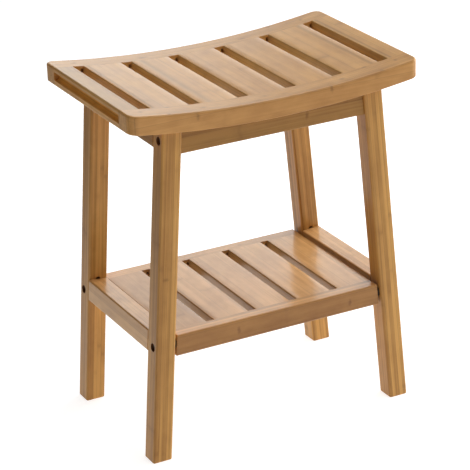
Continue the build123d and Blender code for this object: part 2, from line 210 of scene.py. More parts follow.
# each layer's strips lie a little to one side of the last one's, as bricks do
stagger = calc(bamboo, "FRACT", calc(bamboo, "MULTIPLY", layer, LAYER_STAGGER))
strip_place = calc(bamboo, "ADD", calc(bamboo, "DIVIDE", axes["Y"], STRIP_WIDTH), stagger)
strip = calc(bamboo, "FLOOR", strip_place)
strip_name = add_vector(bamboo, strip, layer)
chance = add_node(bamboo, "ShaderNodeTexWhiteNoise", {"Vector": strip_name}, noise_dimensions="3D")
strip_tone = chance.outputs["Value"]
strip_chances = add_node(bamboo, "ShaderNodeSeparateColor", {0: chance.outputs["Color"]}).outputs
print("each strip is", round(STRIP_WIDTH / MM, 1), "by", round(STRIP_THICKNESS / MM, 1), "mm")

# %% [markdown]
# Between two strips there is a glue line. It is thin and only a little darker, because the glue is clear.
# It shows where the place within a strip, from 0 to 1, is close to either end.

# %% The glue lines
GLUE_LINE = 0.25 * MM


def glue_line(along_axis, strip_size):
    """Return 1 on the seams between strips and 0 elsewhere."""
    middle = calc(bamboo, "ABSOLUTE", calc(bamboo, "SUBTRACT", calc(bamboo, "FRACT", along_axis), 0.5))
    return fade(bamboo, middle, 0.5, 0.5 - 2 * GLUE_LINE / strip_size)


layer_seams = glue_line(layer_place, STRIP_THICKNESS)
strip_seams = glue_line(strip_place, STRIP_WIDTH)
seams = calc(bamboo, "MAXIMUM", layer_seams, strip_seams)
print("a glue line fades out", round(2 * GLUE_LINE / MM, 2), "mm into its strip")

# %% [markdown]
# The fibres are thin and very long. Noise that is squeezed across the board and drawn out along it gives
# them: a fine layer for the single fibres and a broad one for the streaks they gather into. Noise that is
# squeezed less gives the soft clouds.

# %% Fibres, streaks and clouds
# the two numbers are how often the noise changes in a metre, along the fibres and across them
fibres = stretched_noise(bamboo, place, 9, 1300, detail=3, roughness=0.6)
streaks = stretched_noise(bamboo, place, 3, 190, detail=2, roughness=0.6)
clouds = stretched_noise(bamboo, place, 16, 34, detail=3, roughness=0.55)
fine_clouds = stretched_noise(bamboo, place, 45, 90, detail=3, roughness=0.6)

# %% [markdown]
# A bamboo stalk has a node about every quarter of a metre, where a wall closes it. Planed flat, the node
# leaves a brown band across its strip, with a paler stain around it. Each strip came from another part of
# the stalk, so its marks lie elsewhere, by a chance of its own.

# %% Node marks
NODE_PITCH = 245 * MM
NODE_WANDER = 9 * MM
CORE_EDGE = (0.5 * MM, 4.5 * MM)
HALO_EDGE = (2 * MM, 16 * MM)
CORE_STRENGTH = 0.5
HALO_STRENGTH = 0.35
WEAKEST_MARK = 0.2

turns = calc(bamboo, "ADD", calc(bamboo, "DIVIDE", axes["X"], NODE_PITCH), strip_chances["Red"])
beyond = calc(bamboo, "SUBTRACT", calc(bamboo, "FRACT", turns), 0.5)
wander = calc(bamboo, "SUBTRACT", stretched_noise(bamboo, place, 60, 160), 0.5)
wander = calc(bamboo, "MULTIPLY", wander, NODE_WANDER)
from_node = calc(bamboo, "MULTIPLY_ADD", beyond, NODE_PITCH, wander)
from_node = calc(bamboo, "ABSOLUTE", from_node)
mark_core = fade(bamboo, from_node, *CORE_EDGE)
mark_halo = fade(bamboo, from_node, *HALO_EDGE)
mark = calc(bamboo, "MULTIPLY", mark_core, CORE_STRENGTH)
mark = calc(bamboo, "MULTIPLY_ADD", mark_halo, HALO_STRENGTH, mark)
strength = calc(bamboo, "MULTIPLY_ADD", strip_chances["Green"], 1 - WEAKEST_MARK, WEAKEST_MARK)
mark = calc(bamboo, "MULTIPLY", mark, strength)
mark = calc(bamboo, "MULTIPLY", mark, given["Node Marks"])
mark = calc(bamboo, "MAXIMUM", mark, given["Own Mark"])
print("a strip has a node every", round(NODE_PITCH / MM), "mm")

# %% [markdown]
# The parts come together as one number from dark to light, which picks a colour between the board's two
# browns. The node marks and glue lines are laid over it. The same parts steer the roughness and the
# height, so the fibres also show in the sheen.

# %% Put the bamboo together
NODE_BROWN = (0.185, 0.075, 0.022, 1)
GLUE_BROWN = (0.120, 0.052, 0.018, 1)
GLUE_STRENGTH = 0.30
SMOOTHEST = 0.20
DULLNESS_SHARE = 0.5


def weigh(tree, parts):
    """Add up (value, weight) pairs, with each value taken from its middle of 0.5."""
    total = 0.5
    for value, weight in parts:
        total = calc(tree, "MULTIPLY_ADD", calc(tree, "SUBTRACT", value, 0.5), weight, total)
    return total


# what runs along the fibres and what lies in patches can be mixed in other amounts on each board
lines = weigh(bamboo, ((strip_tone, 0.5), (streaks, 1.5), (fibres, 0.7)))
patches = weigh(bamboo, ((clouds, 1.2), (fine_clouds, 0.7)))
lightness = weigh(bamboo, ((lines, given["Strips"]), (patches, given["Clouds"])))
lightness = calc(bamboo, "MINIMUM", calc(bamboo, "MAXIMUM", lightness, 0.0), 1.0)
colour = blend_colour(bamboo, lightness, given["Dark"], given["Light"])
colour = blend_colour(bamboo, calc(bamboo, "MULTIPLY", seams, GLUE_STRENGTH), colour, GLUE_BROWN)
colour = blend_colour(bamboo, mark, colour, NODE_BROWN)
dullness = weigh(bamboo, ((fibres, 0.30), (clouds, 0.25), (mark, 0.15)))
height = weigh(bamboo, ((fibres, 0.8), (streaks, 0.5), (mark_core, 0.6), (seams, -0.5)))

results = bamboo.nodes.new("NodeGroupOutput").inputs
bamboo.links.new(colour, results["Color"])
roughness = calc(bamboo, "MULTIPLY_ADD", dullness, DULLNESS_SHARE, SMOOTHEST)
bamboo.links.new(roughness, results["Roughness"])
bamboo.links.new(height, results["Height"])
print("bamboo pattern has", len(bamboo.nodes), "nodes")

# %% [markdown]
# ## A material for each board
#
# Each board has its fibres along its own length, so a Mapping node turns the pattern to fit it. It also
# slides the pattern by an amount of the board's own, as no two boards are cut from the same strips. The
# legs lean, and their pattern leans with them. The boards are sprayed with a clear lacquer: a coat over
# the wood, smoother than the wood under it, which gives the pale shine on the seat.

# %% Turn the grain
LEAN = math.radians(4.63)


def grain_turn(fibre, layers):
    """Return the turn that lays the pattern's X along the fibres and its Z through the layers."""
    fibre = Vector(fibre).normalized()
    layers = Vector(layers).normalized()
    return Matrix((fibre, layers.cross(fibre), layers)).to_euler()


print("the legs lean by", round(math.degrees(LEAN), 2), "degrees")

# %% [markdown]
# The random marks can't be told where to lie, and on a few boards the eye expects one in a certain place.
# Such a mark is laid on by its distance from that place, measured short along the fibres and long across
# them, so that it comes out as a small dash with a ragged edge.

# %% Marks in chosen places
MARK_LENGTH = 3 * MM
MARK_WIDTH = 6 * MM
MARK_EDGE = (0.6, 1.7)
MARK_STRENGTH = 0.5


def own_mark(tree, spot, centre, fibre):
    """Return 1 at a node mark lying at one place on a board, and 0 away from it."""
    reach = [abs(f) / MARK_LENGTH + (1 - abs(f)) / MARK_WIDTH for f in fibre]
    away = calc_vector(tree, "MULTIPLY", calc_vector(tree, "SUBTRACT", spot, centre), reach)
    ragged = noise(tree, spot, scale=350.0, detail=3.0)
    return fade(tree, calc(tree, "ADD", calc_vector(tree, "LENGTH", away), ragged), *MARK_EDGE)


# %% [markdown]
# The walls of the deep holes for the bolts are painted a dark brown, as painted shade. The walls of the
# shallow finger grooves in the ends of the seat are painted lighter and less orange, as painted light
# that lifts the shade in the groove. Separate materials for these walls would need marked faces, which
# the CAD model doesn't have. So the holes are found by the distance from the bolts' lines, and the
# grooves by the distance from their middle planes.

# %% Holes and grooves
BOLT_HEAD_RADIUS = 5 * MM
BORE_RADIUS = 5.3 * MM
BORE_EDGE = 0.32 * MM
# painted shade inside the bolt holes
BORE_PAINTED_SHADE = (0.13, 0.05, 0.016, 1)
GROOVE_DEPTH = 8 * MM
GROOVE_HEIGHT = 448.5 * MM
GROOVE_HALF_WIDTH = 5 * MM
GROOVE_DEPTH_EDGE = 0.5 * MM
GROOVE_WIDTH_EDGE = 1 * MM
# painted light on the walls of the finger grooves
GROOVE_PAINTED_LIGHT = (1.45, 1.5, 1.1)
FAR_AWAY = 1.0

bolts_low, bolts_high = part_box("frame_bolts")
BOLT_Y = bolts_high.y - BOLT_HEAD_RADIUS
BOLT_HEIGHTS = (bolts_low.z + BOLT_HEAD_RADIUS, bolts_high.z - BOLT_HEAD_RADIUS)
GROOVE_X = cad_high.x - GROOVE_DEPTH / 2
print("bolts lie", round(BOLT_Y / MM, 1), "mm to the front and back of the middle")


def inside_bores(tree, spot):
    """Return 1 within the holes for the bolts, which all run along X, and 0 outside them."""
    axes = split_vector(tree, spot)
    from_y = calc(tree, "SUBTRACT", calc(tree, "ABSOLUTE", axes["Y"]), BOLT_Y)
    nearest = FAR_AWAY
    for height in BOLT_HEIGHTS:
        from_z = calc(tree, "SUBTRACT", axes["Z"], height)
        far = calc_vector(tree, "LENGTH", add_vector(tree, from_y, from_z))
        nearest = calc(tree, "MINIMUM", nearest, far)
    return fade(tree, nearest, BORE_RADIUS, BORE_RADIUS + BORE_EDGE)


def inside_groove(tree, spot):
    """Return 1 on the walls of the finger grooves in the ends of the seat, and 0 elsewhere."""
    axes = split_vector(tree, spot)
    from_x = calc(tree, "SUBTRACT", calc(tree, "ABSOLUTE", axes["X"]), GROOVE_X)
    from_z = calc(tree, "SUBTRACT", axes["Z"], GROOVE_HEIGHT)
    deep = GROOVE_DEPTH / 2
    within_x = fade(tree, calc(tree, "ABSOLUTE", from_x), deep, deep + GROOVE_DEPTH_EDGE)
    wide = GROOVE_HALF_WIDTH
    within_z = fade(tree, calc(tree, "ABSOLUTE", from_z), wide, wide + GROOVE_WIDTH_EDGE)
    return calc(tree, "MULTIPLY", within_x, within_z)


# %% [markdown]
# Now the material itself. Faces that look different ways get different light, and the colour paints this
# in: it is multiplied by a tone of its own where the face looks through the layers or to the side, found
# from the direction that the face looks in. This is painted shade on faces that lie in shade and painted
# light on faces that catch it.

# %% Material of a board
# how far the pattern slides, in metres, from one board to the next and from one slat of a row to the next
BOARD_SLIDE = Vector((1.37, 0.913, 0.0717))
SLAT_SLIDE = (0.37, 1.31, 0.173)
PATTERN_LOOKS = ("Light", "Dark", "Strips", "Clouds", "Node Marks")
GRAIN_BUMP = {"Strength": 0.25, "Distance": 0.15 * MM}
WOOD_SHEEN = 0.18
COAT_ROUGHNESS = 0.17


def turned_pattern(tree, spot, fibre, layers, board, look, own=0.0):
    """Add the bamboo pattern, turned and slid to fit a board."""
    inputs = {"Vector": spot, "Location": board * BOARD_SLIDE, "Rotation": grain_turn(fibre, layers)}
    turned = add_node(tree, "ShaderNodeMapping", inputs).outputs[0]
    inputs = {"Vector": turned, "Own Mark": own, **{name: look[name] for name in PATTERN_LOOKS}}
    return add_node(tree, "ShaderNodeGroup", inputs, node_tree=bamboo).outputs


def paint_face_shading(tree, colour, normal, fibre, layers, look):
    """Multiply the colour by the look's painted shade and light on the wide faces and on the sides."""
    side = Vector(layers).cross(Vector(fibre))
    for direction, tone in ((layers, look["Wide Painted Shading"]), (side, look["Side Painted Shading"])):
        # painted shade and light: the colour is darkened or lightened by how squarely the face looks this
        # way
        facing = calc(tree, "ABSOLUTE", calc_vector(tree, "DOT_PRODUCT", normal, direction))
        colour = blend_colour(tree, facing, colour, calc_vector(tree, "MULTIPLY", colour, tone))
    return colour


def bamboo_material(name, fibre, layers, board, look, centres=(), in_row=False):
    """Make the material of a board, whose number picks its own piece of the pattern.

    The centres are the places of its own node marks. Slats in a row share a material, and the number
    that each slat carries moves it to another piece of the pattern.
    """
    material = bpy.data.materials.new(name)
    material.use_nodes = True
    tree = material.node_tree
    where = add_node(tree, "ShaderNodeTexCoord").outputs
    spot = where["Object"]
    own = 0.0
    for centre in centres:
        own = calc(tree, "MAXIMUM", own, own_mark(tree, spot, centre, fibre))
    if centres:
        own = calc(tree, "MULTIPLY", own, MARK_STRENGTH)
    if in_row:
        number = add_node(tree, "ShaderNodeAttribute", attribute_name="board").outputs["Fac"]
        spot = calc_vector(tree, "ADD", spot, calc_vector(tree, "MULTIPLY", SLAT_SLIDE, number))
    pattern = turned_pattern(tree, spot, fibre, layers, board, look, own)
    colour = paint_face_shading(tree, pattern["Color"], where["Normal"], fibre, layers, look)
    if look["Grooved"]:
        # painted light: the groove's walls are lightened and made less orange
        groove_painted_colour = calc_vector(tree, "MULTIPLY", colour, GROOVE_PAINTED_LIGHT)
        colour = blend_colour(tree, inside_groove(tree, where["Object"]), colour, groove_painted_colour)
    if look["Bored"]:
        # painted shade: the walls of the bolt holes are painted dark brown
        colour = blend_colour(tree, inside_bores(tree, where["Object"]), colour, BORE_PAINTED_SHADE)

    shader = tree.nodes["Principled BSDF"]
    bump = add_node(tree, "ShaderNodeBump", {"Height": pattern["Height"], **GRAIN_BUMP})
    tree.links.new(colour, shader.inputs["Base Color"])
    tree.links.new(pattern["Roughness"], shader.inputs["Roughness"])
    tree.links.new(bump.outputs[0], shader.inputs["Normal"])
    shader.inputs["Specular IOR Level"].default_value = WOOD_SHEEN
    shader.inputs["Coat Weight"].default_value = look["Coat"]
    shader.inputs["Coat Roughness"].default_value = COAT_ROUGHNESS
    return material


# %% [markdown]
# Three families of boards have their own browns: the legs and aprons are a warm middle brown in clear
# lines, and the seat and the shelf, which face up, are paler and cloudier and have more lacquer. Within a
# family a board can differ in a thing or two, so its look is a copy of the family's look with those
# changed, mostly in its painted shading. The wide faces of the rails, aprons and stretchers, which look
# out to the front and sides, are painted darker as shade. The sides of the slats are painted darker on
# the shelf and less orange on the seat. The two end boards of the seat are shown from different sides,
# the left one from outside with its groove and the right one from inside, so only the left one has
# painted shading of its own: a darker top and a lighter end.
#
# In a look, Light and Dark are the two ends of the brown. Strips, Clouds and Node Marks say how strongly
# each of these shows, and Coat how thick the lacquer looks. The two tones multiply the colour as painted
# shade and light.

# %% Looks
NO_PAINTED_SHADING = (1, 1, 1)
PLAIN_LOOK = {"Grooved": False, "Bored": False, "Wide Painted Shading": NO_PAINTED_SHADING, "Side Painted Shading": NO_PAINTED_SHADING}
SEAT_LOOK = {
    **PLAIN_LOOK,
    "Light": (0.735, 0.395, 0.134, 1),
    "Dark": (0.54, 0.265, 0.080, 1),
    "Strips": 0.7,
    "Clouds": 1.2,
    "Node Marks": 0.30,
    "Coat": 0.26,
    # painted shading: the sides of the seat's slats are made less orange, as they look in the shade of
    # the gaps
    "Side Painted Shading": (0.95, 1.13, 1.35),
}
SHELF_LOOK = {
    **PLAIN_LOOK,
    "Light": (0.80, 0.46, 0.185, 1),
    "Dark": (0.55, 0.28, 0.088, 1),
    "Strips": 0.7,
    "Clouds": 1.2,
    "Node Marks": 0.30,
    "Coat": 0.4,
    # painted shade: the sides of the shelf's slats, the walls of its gaps, are painted darker
    "Side Painted Shading": (0.6, 0.62, 0.65),
}
LEG_LOOK = {
    **PLAIN_LOOK,
    "Light": (0.67, 0.355, 0.098, 1),
    "Dark": (0.385, 0.178, 0.042, 1),
    "Strips": 1.25,
    "Clouds": 0.6,
    "Node Marks": 0.40,
    "Coat": 0.15,
    "Bored": True,
}
# painted shade on the wide faces of the rails, aprons and stretchers, and on the left end board painted
# shade on its top and painted light on its end
SEAT_RAIL_LOOK = {**SEAT_LOOK, "Wide Painted Shading": (0.84, 0.80, 0.72), "Side Painted Shading": (0.95, 0.94, 0.9)}
LEFT_END_LOOK = {
    **SEAT_LOOK,
    "Grooved": True,
    "Wide Painted Shading": (0.78, 0.82, 0.9),
    "Side Painted Shading": (1.12, 1.12, 1.0),
}
SHELF_RAIL_LOOK = {**SHELF_LOOK, "Wide Painted Shading": (0.52, 0.42, 0.27), "Side Painted Shading": (1, 0.98, 0.95)}
STRETCHER_LOOK = {**SHELF_LOOK, "Wide Painted Shading": (0.85, 0.82, 0.75), "Side Painted Shading": NO_PAINTED_SHADING}
APRON_LOOK = {**LEG_LOOK, "Wide Painted Shading": (0.60, 0.57, 0.50)}

# %% [markdown]
# The table gives each board its node in the CAD model, the way its fibres run, the way through its
# layers, and its look. The fibres always run the long way of a board, as they carry its load.

# %% Boards
ALONG_X = (1, 0, 0)
ALONG_Y = (0, 1, 0)
UP = (0, 0, 1)
LEG_LEFT = (math.sin(LEAN), 0, math.cos(LEAN))
LEG_RIGHT = (-math.sin(LEAN), 0, math.cos(LEAN))
FACE_LEFT = (math.cos(LEAN), 0, -math.sin(LEAN))
FACE_RIGHT = (math.cos(LEAN), 0, math.sin(LEAN))
BOARDS = (
    ("seat_front_rail", ALONG_X, ALONG_Y, SEAT_RAIL_LOOK),
    ("seat_back_rail", ALONG_X, ALONG_Y, SEAT_RAIL_LOOK),
    ("seat_left_end_board", ALONG_Y, UP, LEFT_END_LOOK),
    ("seat_right_end_board", ALONG_Y, UP, SEAT_LOOK),
    ("seat_spacers", ALONG_Y, UP, SEAT_LOOK),
    ("shelf_front_rail", ALONG_X, ALONG_Y, SHELF_RAIL_LOOK),
    ("shelf_back_rail", ALONG_X, ALONG_Y, SHELF_RAIL_LOOK),
    ("shelf_spacers", ALONG_Y, UP, SHELF_LOOK),
    ("leg_front_left", LEG_LEFT, FACE_LEFT, LEG_LOOK),
    ("leg_front_right", LEG_RIGHT, FACE_RIGHT, LEG_LOOK),
    ("leg_back_left", LEG_LEFT, FACE_LEFT, LEG_LOOK),
    ("leg_back_right", LEG_RIGHT, FACE_RIGHT, LEG_LOOK),
    ("apron_front", ALONG_X, ALONG_Y, APRON_LOOK),
    ("apron_back", ALONG_X, ALONG_Y, APRON_LOOK),
    ("apron_left", ALONG_Y, ALONG_X, APRON_LOOK),
    ("apron_right", ALONG_Y, ALONG_X, APRON_LOOK),
    ("stretcher_left", ALONG_Y, ALONG_X, STRETCHER_LOOK),
    ("stretcher_right", ALONG_Y, ALONG_X, STRETCHER_LOOK),
)

# %% [markdown]
# A few node marks lie in plain sight on the front of the stool. Their places are given here, in
# millimetres.

# %% Marks in plain sight
OWN_MARKS = {
    "seat_front_rail": ((-108.8, -125, 444.7), (71.8, -125, 444.8)),
    "leg_front_left": ((-154.8, -113, 242),),
    "apron_front": ((45.6, -109, 410.8),),
    "shelf_front_rail": ((-57.5, -109.8, 150.2), (101.5, -109.8, 149.4)),
}
print(sum(map(len, OWN_MARKS.values())), "marks in chosen places")

# %% [markdown]
# The CAD node of a board keeps its mesh, because its shape is right, and gets the new material in each of
# its slots. Every board has a number of its own, from 1 up, which picks its piece of the pattern.


# %% Dress the boards
def dress(node, material):
    """Put a material on every slot of a CAD node."""
    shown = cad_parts[node]
    if not shown.material_slots:
        shown.data.materials.append(material)
    for slot in shown.material_slots:
        slot.material = material


for number, (node, fibre, layers, look) in enumerate(BOARDS, start=1):
    centres = [Vector(centre) * MM for centre in OWN_MARKS.get(node, ())]
    dress(node, bamboo_material("bamboo_" + node, fibre, layers, number, look, centres))
print(len(BOARDS), "boards dressed")

# %% [markdown]
# ## Slats
#
# The seat and the shelf each have five slats, all alike but for where they lie. They could be five copied
# and edited boxes, but a change of size would then be made ten times. Geometry Nodes follow the rule
# instead: one slat is drawn, copied along a line, and the whole row is bent to the dish of the seat. Each
# slat has a tongue on both ends, which sits in the grooves of the rails. The shelf uses the same tree
# with no bend.


# %% Start a tree of Geometry Nodes
def geometry_tree(name, whole_numbers, sizes):
    """Start a tree with named inputs; return it and the sockets those inputs give."""
    tree = bpy.data.node_groups.new(name, "GeometryNodeTree")
    sockets = tree.interface
    sockets.new_socket("Geometry", in_out="INPUT", socket_type="NodeSocketGeometry")
    for size in whole_numbers:
        sockets.new_socket(size, in_out="INPUT", socket_type="NodeSocketInt")
    for size in sizes:
        sockets.new_socket(size, in_out="INPUT", socket_type="NodeSocketFloat")
    sockets.new_socket("Material", in_out="INPUT", socket_type="NodeSocketMaterial")
    sockets.new_socket("Geometry", in_out="OUTPUT", socket_type="NodeSocketGeometry")
    return tree, tree.nodes.new("NodeGroupInput").outputs


def join(tree, first, second):
    """Join two closed shapes into one with a Boolean."""
    made = add_node(tree, "GeometryNodeMeshBoolean", {"Mesh 2": first}, operation="UNION", solver="EXACT")
    tree.links.new(second, made.inputs["Mesh 2"])
    return made.outputs[0]


def move(tree, geometry, z):
    """Move a shape along Z."""
    inputs = {"Geometry": geometry, "Translation": add_vector(tree, z=z)}
    return add_node(tree, "GeometryNodeTransform", inputs).outputs[0]


# %% [markdown]
# A slat's section is a rectangle with its corners rounded. Swept along a straight line it gives the
# board, and a Boolean joins the tongue to it, so that each slat is one closed solid.

# %% One slat
SIDE_CUTS = 5

slat_numbers = ("Count", "Corner Steps")
board_sizes = ("Width", "Thickness", "Half Length", "Arris")
tongue_sizes = ("Tongue Drop", "Tongue Height", "Tongue Length")
row_sizes = ("Pitch", "Top Height", "Curvature")
slat_tree, size = geometry_tree("slats", slat_numbers, board_sizes + tongue_sizes + row_sizes)

inputs = {"Width": size["Width"], "Height": size["Thickness"]}
section = add_node(slat_tree, "GeometryNodeCurvePrimitiveQuadrilateral", inputs)
inputs = {"Curve": section.outputs[0], "Radius": size["Arris"], "Count": size["Corner Steps"]}
rounded = add_node(slat_tree, "GeometryNodeFilletCurve", inputs, mode="POLY")
inputs = {"Curve": rounded.outputs[0], "Cuts": SIDE_CUTS}
divided = add_node(slat_tree, "GeometryNodeSubdivideCurve", inputs)
front_end = add_vector(slat_tree, y=calc(slat_tree, "MULTIPLY", size["Half Length"], -1))
back_end = add_vector(slat_tree, y=size["Half Length"])
length_line = add_node(slat_tree, "GeometryNodeCurvePrimitiveLine", {"Start": front_end, "End": back_end})
inputs = {"Curve": length_line.outputs[0], "Profile Curve": divided.outputs[0], "Fill Caps": True}
board = add_node(slat_tree, "GeometryNodeCurveToMesh", inputs).outputs[0]

# the section is drawn around its middle, and the top of the slat belongs at zero
board = move(slat_tree, board, calc(slat_tree, "MULTIPLY", size["Thickness"], -0.5))
half_length = calc(slat_tree, "ADD", size["Half Length"], size["Tongue Length"])
whole_length = calc(slat_tree, "MULTIPLY", half_length, 2)
tongue_size = add_vector(slat_tree, size["Width"], whole_length, size["Tongue Height"])
tongue = add_node(slat_tree, "GeometryNodeMeshCube", {"Size": tongue_size}).outputs[0]
tongue_top = calc(slat_tree, "MULTIPLY", size["Tongue Drop"], -1)
tongue_middle = calc(slat_tree, "MULTIPLY_ADD", size["Tongue Height"], -0.5, tongue_top)
joined = join(slat_tree, board, move(slat_tree, tongue, tongue_middle))

# %% [markdown]
# A line of points, one pitch apart, carries the copies. Each copy remembers its number as an attribute
# called board, and the material uses that number to take each slat from another part of the bamboo.

# %% The row of slats
steps = calc(slat_tree, "SUBTRACT", size["Count"], 1)
row_start = calc(slat_tree, "MULTIPLY", calc(slat_tree, "MULTIPLY", steps, size["Pitch"]), -0.5)
inputs = {
    "Count": size["Count"],
    "Start Location": add_vector(slat_tree, row_start),
    "Offset": add_vector(slat_tree, size["Pitch"]),
}
row = add_node(slat_tree, "GeometryNodeMeshLine", inputs, mode="OFFSET")
inputs = {"Points": row.outputs[0], "Instance": joined}
copies = add_node(slat_tree, "GeometryNodeInstanceOnPoints", inputs)
number = calc(slat_tree, "ADD", slat_tree.nodes.new("GeometryNodeInputIndex").outputs[0], 1)
inputs = {"Geometry": copies.outputs[0], "Name": "board", "Value": number}
kind = {"domain": "INSTANCE", "data_type": "FLOAT"}
named = add_node(slat_tree, "GeometryNodeStoreNamedAttribute", inputs, **kind)
solid_row = add_node(slat_tree, "GeometryNodeRealizeInstances", {"Geometry": named.outputs[0]})

# %% [markdown]
# The seat's top is part of a circle around a line far above it. At a distance x from the middle such a
# curve rises by k x² / (1 + √(1 − k² x²)), where k is one over the radius. Written this way it also holds
# for a flat shelf, where k is 0. A point deeper in the slat lies on a larger circle, so its own k is
# smaller.


# %% Bend the row and finish it
SMOOTH_UNDER = math.radians(35)


def finish_tree(tree, geometry):
    """Shade the faces smooth but for the sharp edges, set the material and end the tree."""
    angle = tree.nodes.new("GeometryNodeInputMeshEdgeAngle").outputs["Unsigned Angle"]
    inputs = {0: angle, 1: SMOOTH_UNDER}
    soft = add_node(tree, "FunctionNodeCompare", inputs, operation="LESS_THAN", data_type="FLOAT")
    inputs = {"Geometry": geometry, "Shade Smooth": True}
    faces = add_node(tree, "GeometryNodeSetShadeSmooth", inputs, domain="FACE")
    inputs = {"Geometry": faces.outputs[0], "Shade Smooth": soft.outputs[0]}
    edges = add_node(tree, "GeometryNodeSetShadeSmooth", inputs, domain="EDGE")
    material = tree.nodes["Group Input"].outputs["Material"]
    inputs = {"Geometry": edges.outputs[0], "Material": material}
    dressed = add_node(tree, "GeometryNodeSetMaterial", inputs)
    tree.links.new(dressed.outputs[0], tree.nodes.new("NodeGroupOutput").inputs[0])


spot = split_vector(slat_tree, slat_tree.nodes.new("GeometryNodeInputPosition").outputs[0])
depth = calc(slat_tree, "MULTIPLY", spot["Z"], -1)
deep = calc(slat_tree, "MULTIPLY_ADD", size["Curvature"], depth, 1)
bend = calc(slat_tree, "DIVIDE", size["Curvature"], deep)
bend_x = calc(slat_tree, "MULTIPLY", bend, spot["X"])
bend_x_squared = calc(slat_tree, "MULTIPLY", bend_x, bend_x)
root = calc(slat_tree, "SQRT", calc(slat_tree, "SUBTRACT", 1, bend_x_squared))
rise = calc(slat_tree, "MULTIPLY", bend_x, spot["X"])
rise = calc(slat_tree, "DIVIDE", rise, calc(slat_tree, "ADD", root, 1))
lift = add_vector(slat_tree, z=calc(slat_tree, "ADD", rise, size["Top Height"]))
bent = add_node(slat_tree, "GeometryNodeSetPosition", {"Geometry": solid_row.outputs[0], "Offset": lift})
finish_tree(slat_tree, bent.outputs[0])
print("slat tree has", len(slat_tree.nodes), "nodes")

# %% [markdown]
# A modifier runs the tree, and its inputs are set by each socket's identifier, because two sockets may
# share a name. The result is then kept as a plain mesh and the modifier taken off, so the piece is
# finished and easy to export.


# %% Run a tree
def grow(name, tree, values, start=None):
    """Make an object from a tree and keep the result as a plain mesh."""
    made = bpy.data.objects.new(name, start or bpy.data.meshes.new(name + "_start"))
    bpy.context.scene.collection.objects.link(made)
    modifier = made.modifiers.new("build", "NODES")
    modifier.node_group = tree
    for item in tree.interface.items_tree:
        if item.in_out == "INPUT" and item.name in values:
            modifier[item.identifier] = values[item.name]
    evaluated = made.evaluated_get(bpy.context.evaluated_depsgraph_get())
    mesh = bpy.data.meshes.new_from_object(evaluated)
    made.modifiers.remove(modifier)
    made.data = mesh
    mesh.name = name
    print(name, "has", len(mesh.polygons), "faces, in mm:", [round(v / MM, 1) for v in made.dimensions])
    return made


# %% [markdown]
# The slats of the CAD model give the width, the thickness, the pitch and the length. The dish is given
# here, because the rounded ends of the rails hide its true height. So are the tongues and the rounding
# of the edges, which a slat's box doesn't show.

# %% Seat and shelf slats
SEAT_TOP = 460 * MM
SEAT_DISH = 15 * MM
SLAT_ARRIS = 1.2 * MM
TONGUE_DROP = 3.5 * MM
TONGUE_HEIGHT = 5 * MM
SEAT_TONGUE = 5.5 * MM
SHELF_TONGUE = 4.5 * MM
SLATS = 5
CORNER_STEPS = 4
SEAT_SLAT_BOARD = 31
SHELF_SLAT_BOARD = 32

half_seat = cad_high.x
dish_radius = (half_seat**2 + SEAT_DISH**2) / (2 * SEAT_DISH)


def slat_values(part, tongue, top_height, curvature, material):
    """Read the sizes of a row of slats from the frame."""
    first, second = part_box(part + "_slat_1"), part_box(part + "_slat_2")
    middle_low, middle_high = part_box(part + "_slat_3")
    return {
        "Count": SLATS,
        "Corner Steps": CORNER_STEPS,
        "Pitch": second[0].x - first[0].x,
        "Width": middle_high.x - middle_low.x,
        "Thickness": top_height - middle_low.z,
        "Half Length": middle_high.y - tongue,
        "Arris": SLAT_ARRIS,
        "Tongue Drop": TONGUE_DROP,
        "Tongue Height": TONGUE_HEIGHT,
        "Tongue Length": tongue,
        "Top Height": top_height,
        "Curvature": curvature,
        "Material": material,
    }


dish_bottom = SEAT_TOP - SEAT_DISH
shelf_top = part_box("shelf_slat_1")[1].z
rows = (
    ("seat", SEAT_TONGUE, dish_bottom, 1 / dish_radius, SEAT_SLAT_BOARD, SEAT_LOOK),
    ("shelf", SHELF_TONGUE, shelf_top, 0.0, SHELF_SLAT_BOARD, SHELF_LOOK),
)
for part, tongue, top_height, curvature, board, look in rows:
    name = part + "_slats"
    material = bamboo_material("bamboo_" + name, ALONG_Y, UP, board, look, in_row=True)
    slats = grow(name, slat_tree, slat_values(part, tongue, top_height, curvature, material))
    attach(slats, "root")
    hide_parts(*[f"{part}_slat_{i}" for i in range(1, SLATS + 1)])

# %% [markdown]
# ## Bolts and screws
#
# Eight bolts hold the legs to the aprons and the shelf rails, deep in holes in the leaning faces, and six
# screws hold the seat down from under the long aprons. One drawn fastener is copied to each place, which
# the CAD bolts and screws mark. A fastener is drawn with its driving face at zero and its shank pointing
# down. The head has a small bevel around its face, and a socket for a key or a cross for a screwdriver is
# cut into it. The cutting shape is drawn around zero, so half of its depth goes into the head. Plain
# cylinders would do at the bottom of the holes, but a rim and a socket catch the light as real ones do.


# %% Draw a fastener
def hex_socket(tree, given):
    """Draw the shape that cuts a socket, a six-sided prism."""
    inputs = {"Vertices": 6, "Radius": given["Drive Radius"], "Depth": given["Drive Depth"]}
    return add_node(tree, "GeometryNodeMeshCylinder", inputs).outputs["Mesh"]


def cross_socket(tree, given):
    """Draw the shape that cuts a cross, two bars that are each a fifth as wide as they are long."""
    long_side = calc(tree, "MULTIPLY", given["Drive Radius"], 2)
    short_side = calc(tree, "DIVIDE", long_side, 5)
    bars = []
    for x, y in ((long_side, short_side), (short_side, long_side)):
        bar_size = add_vector(tree, x, y, given["Drive Depth"])
        bars.append(add_node(tree, "GeometryNodeMeshCube", {"Size": bar_size}).outputs[0])
    return join(tree, *bars)


# %% [markdown]
# Each point of the mesh that the tree is given carries two values: how the fastener there is turned, and
# how long its shank is. The heads are all copies of one shape, and the shanks are copies of another that
# each point stretches.


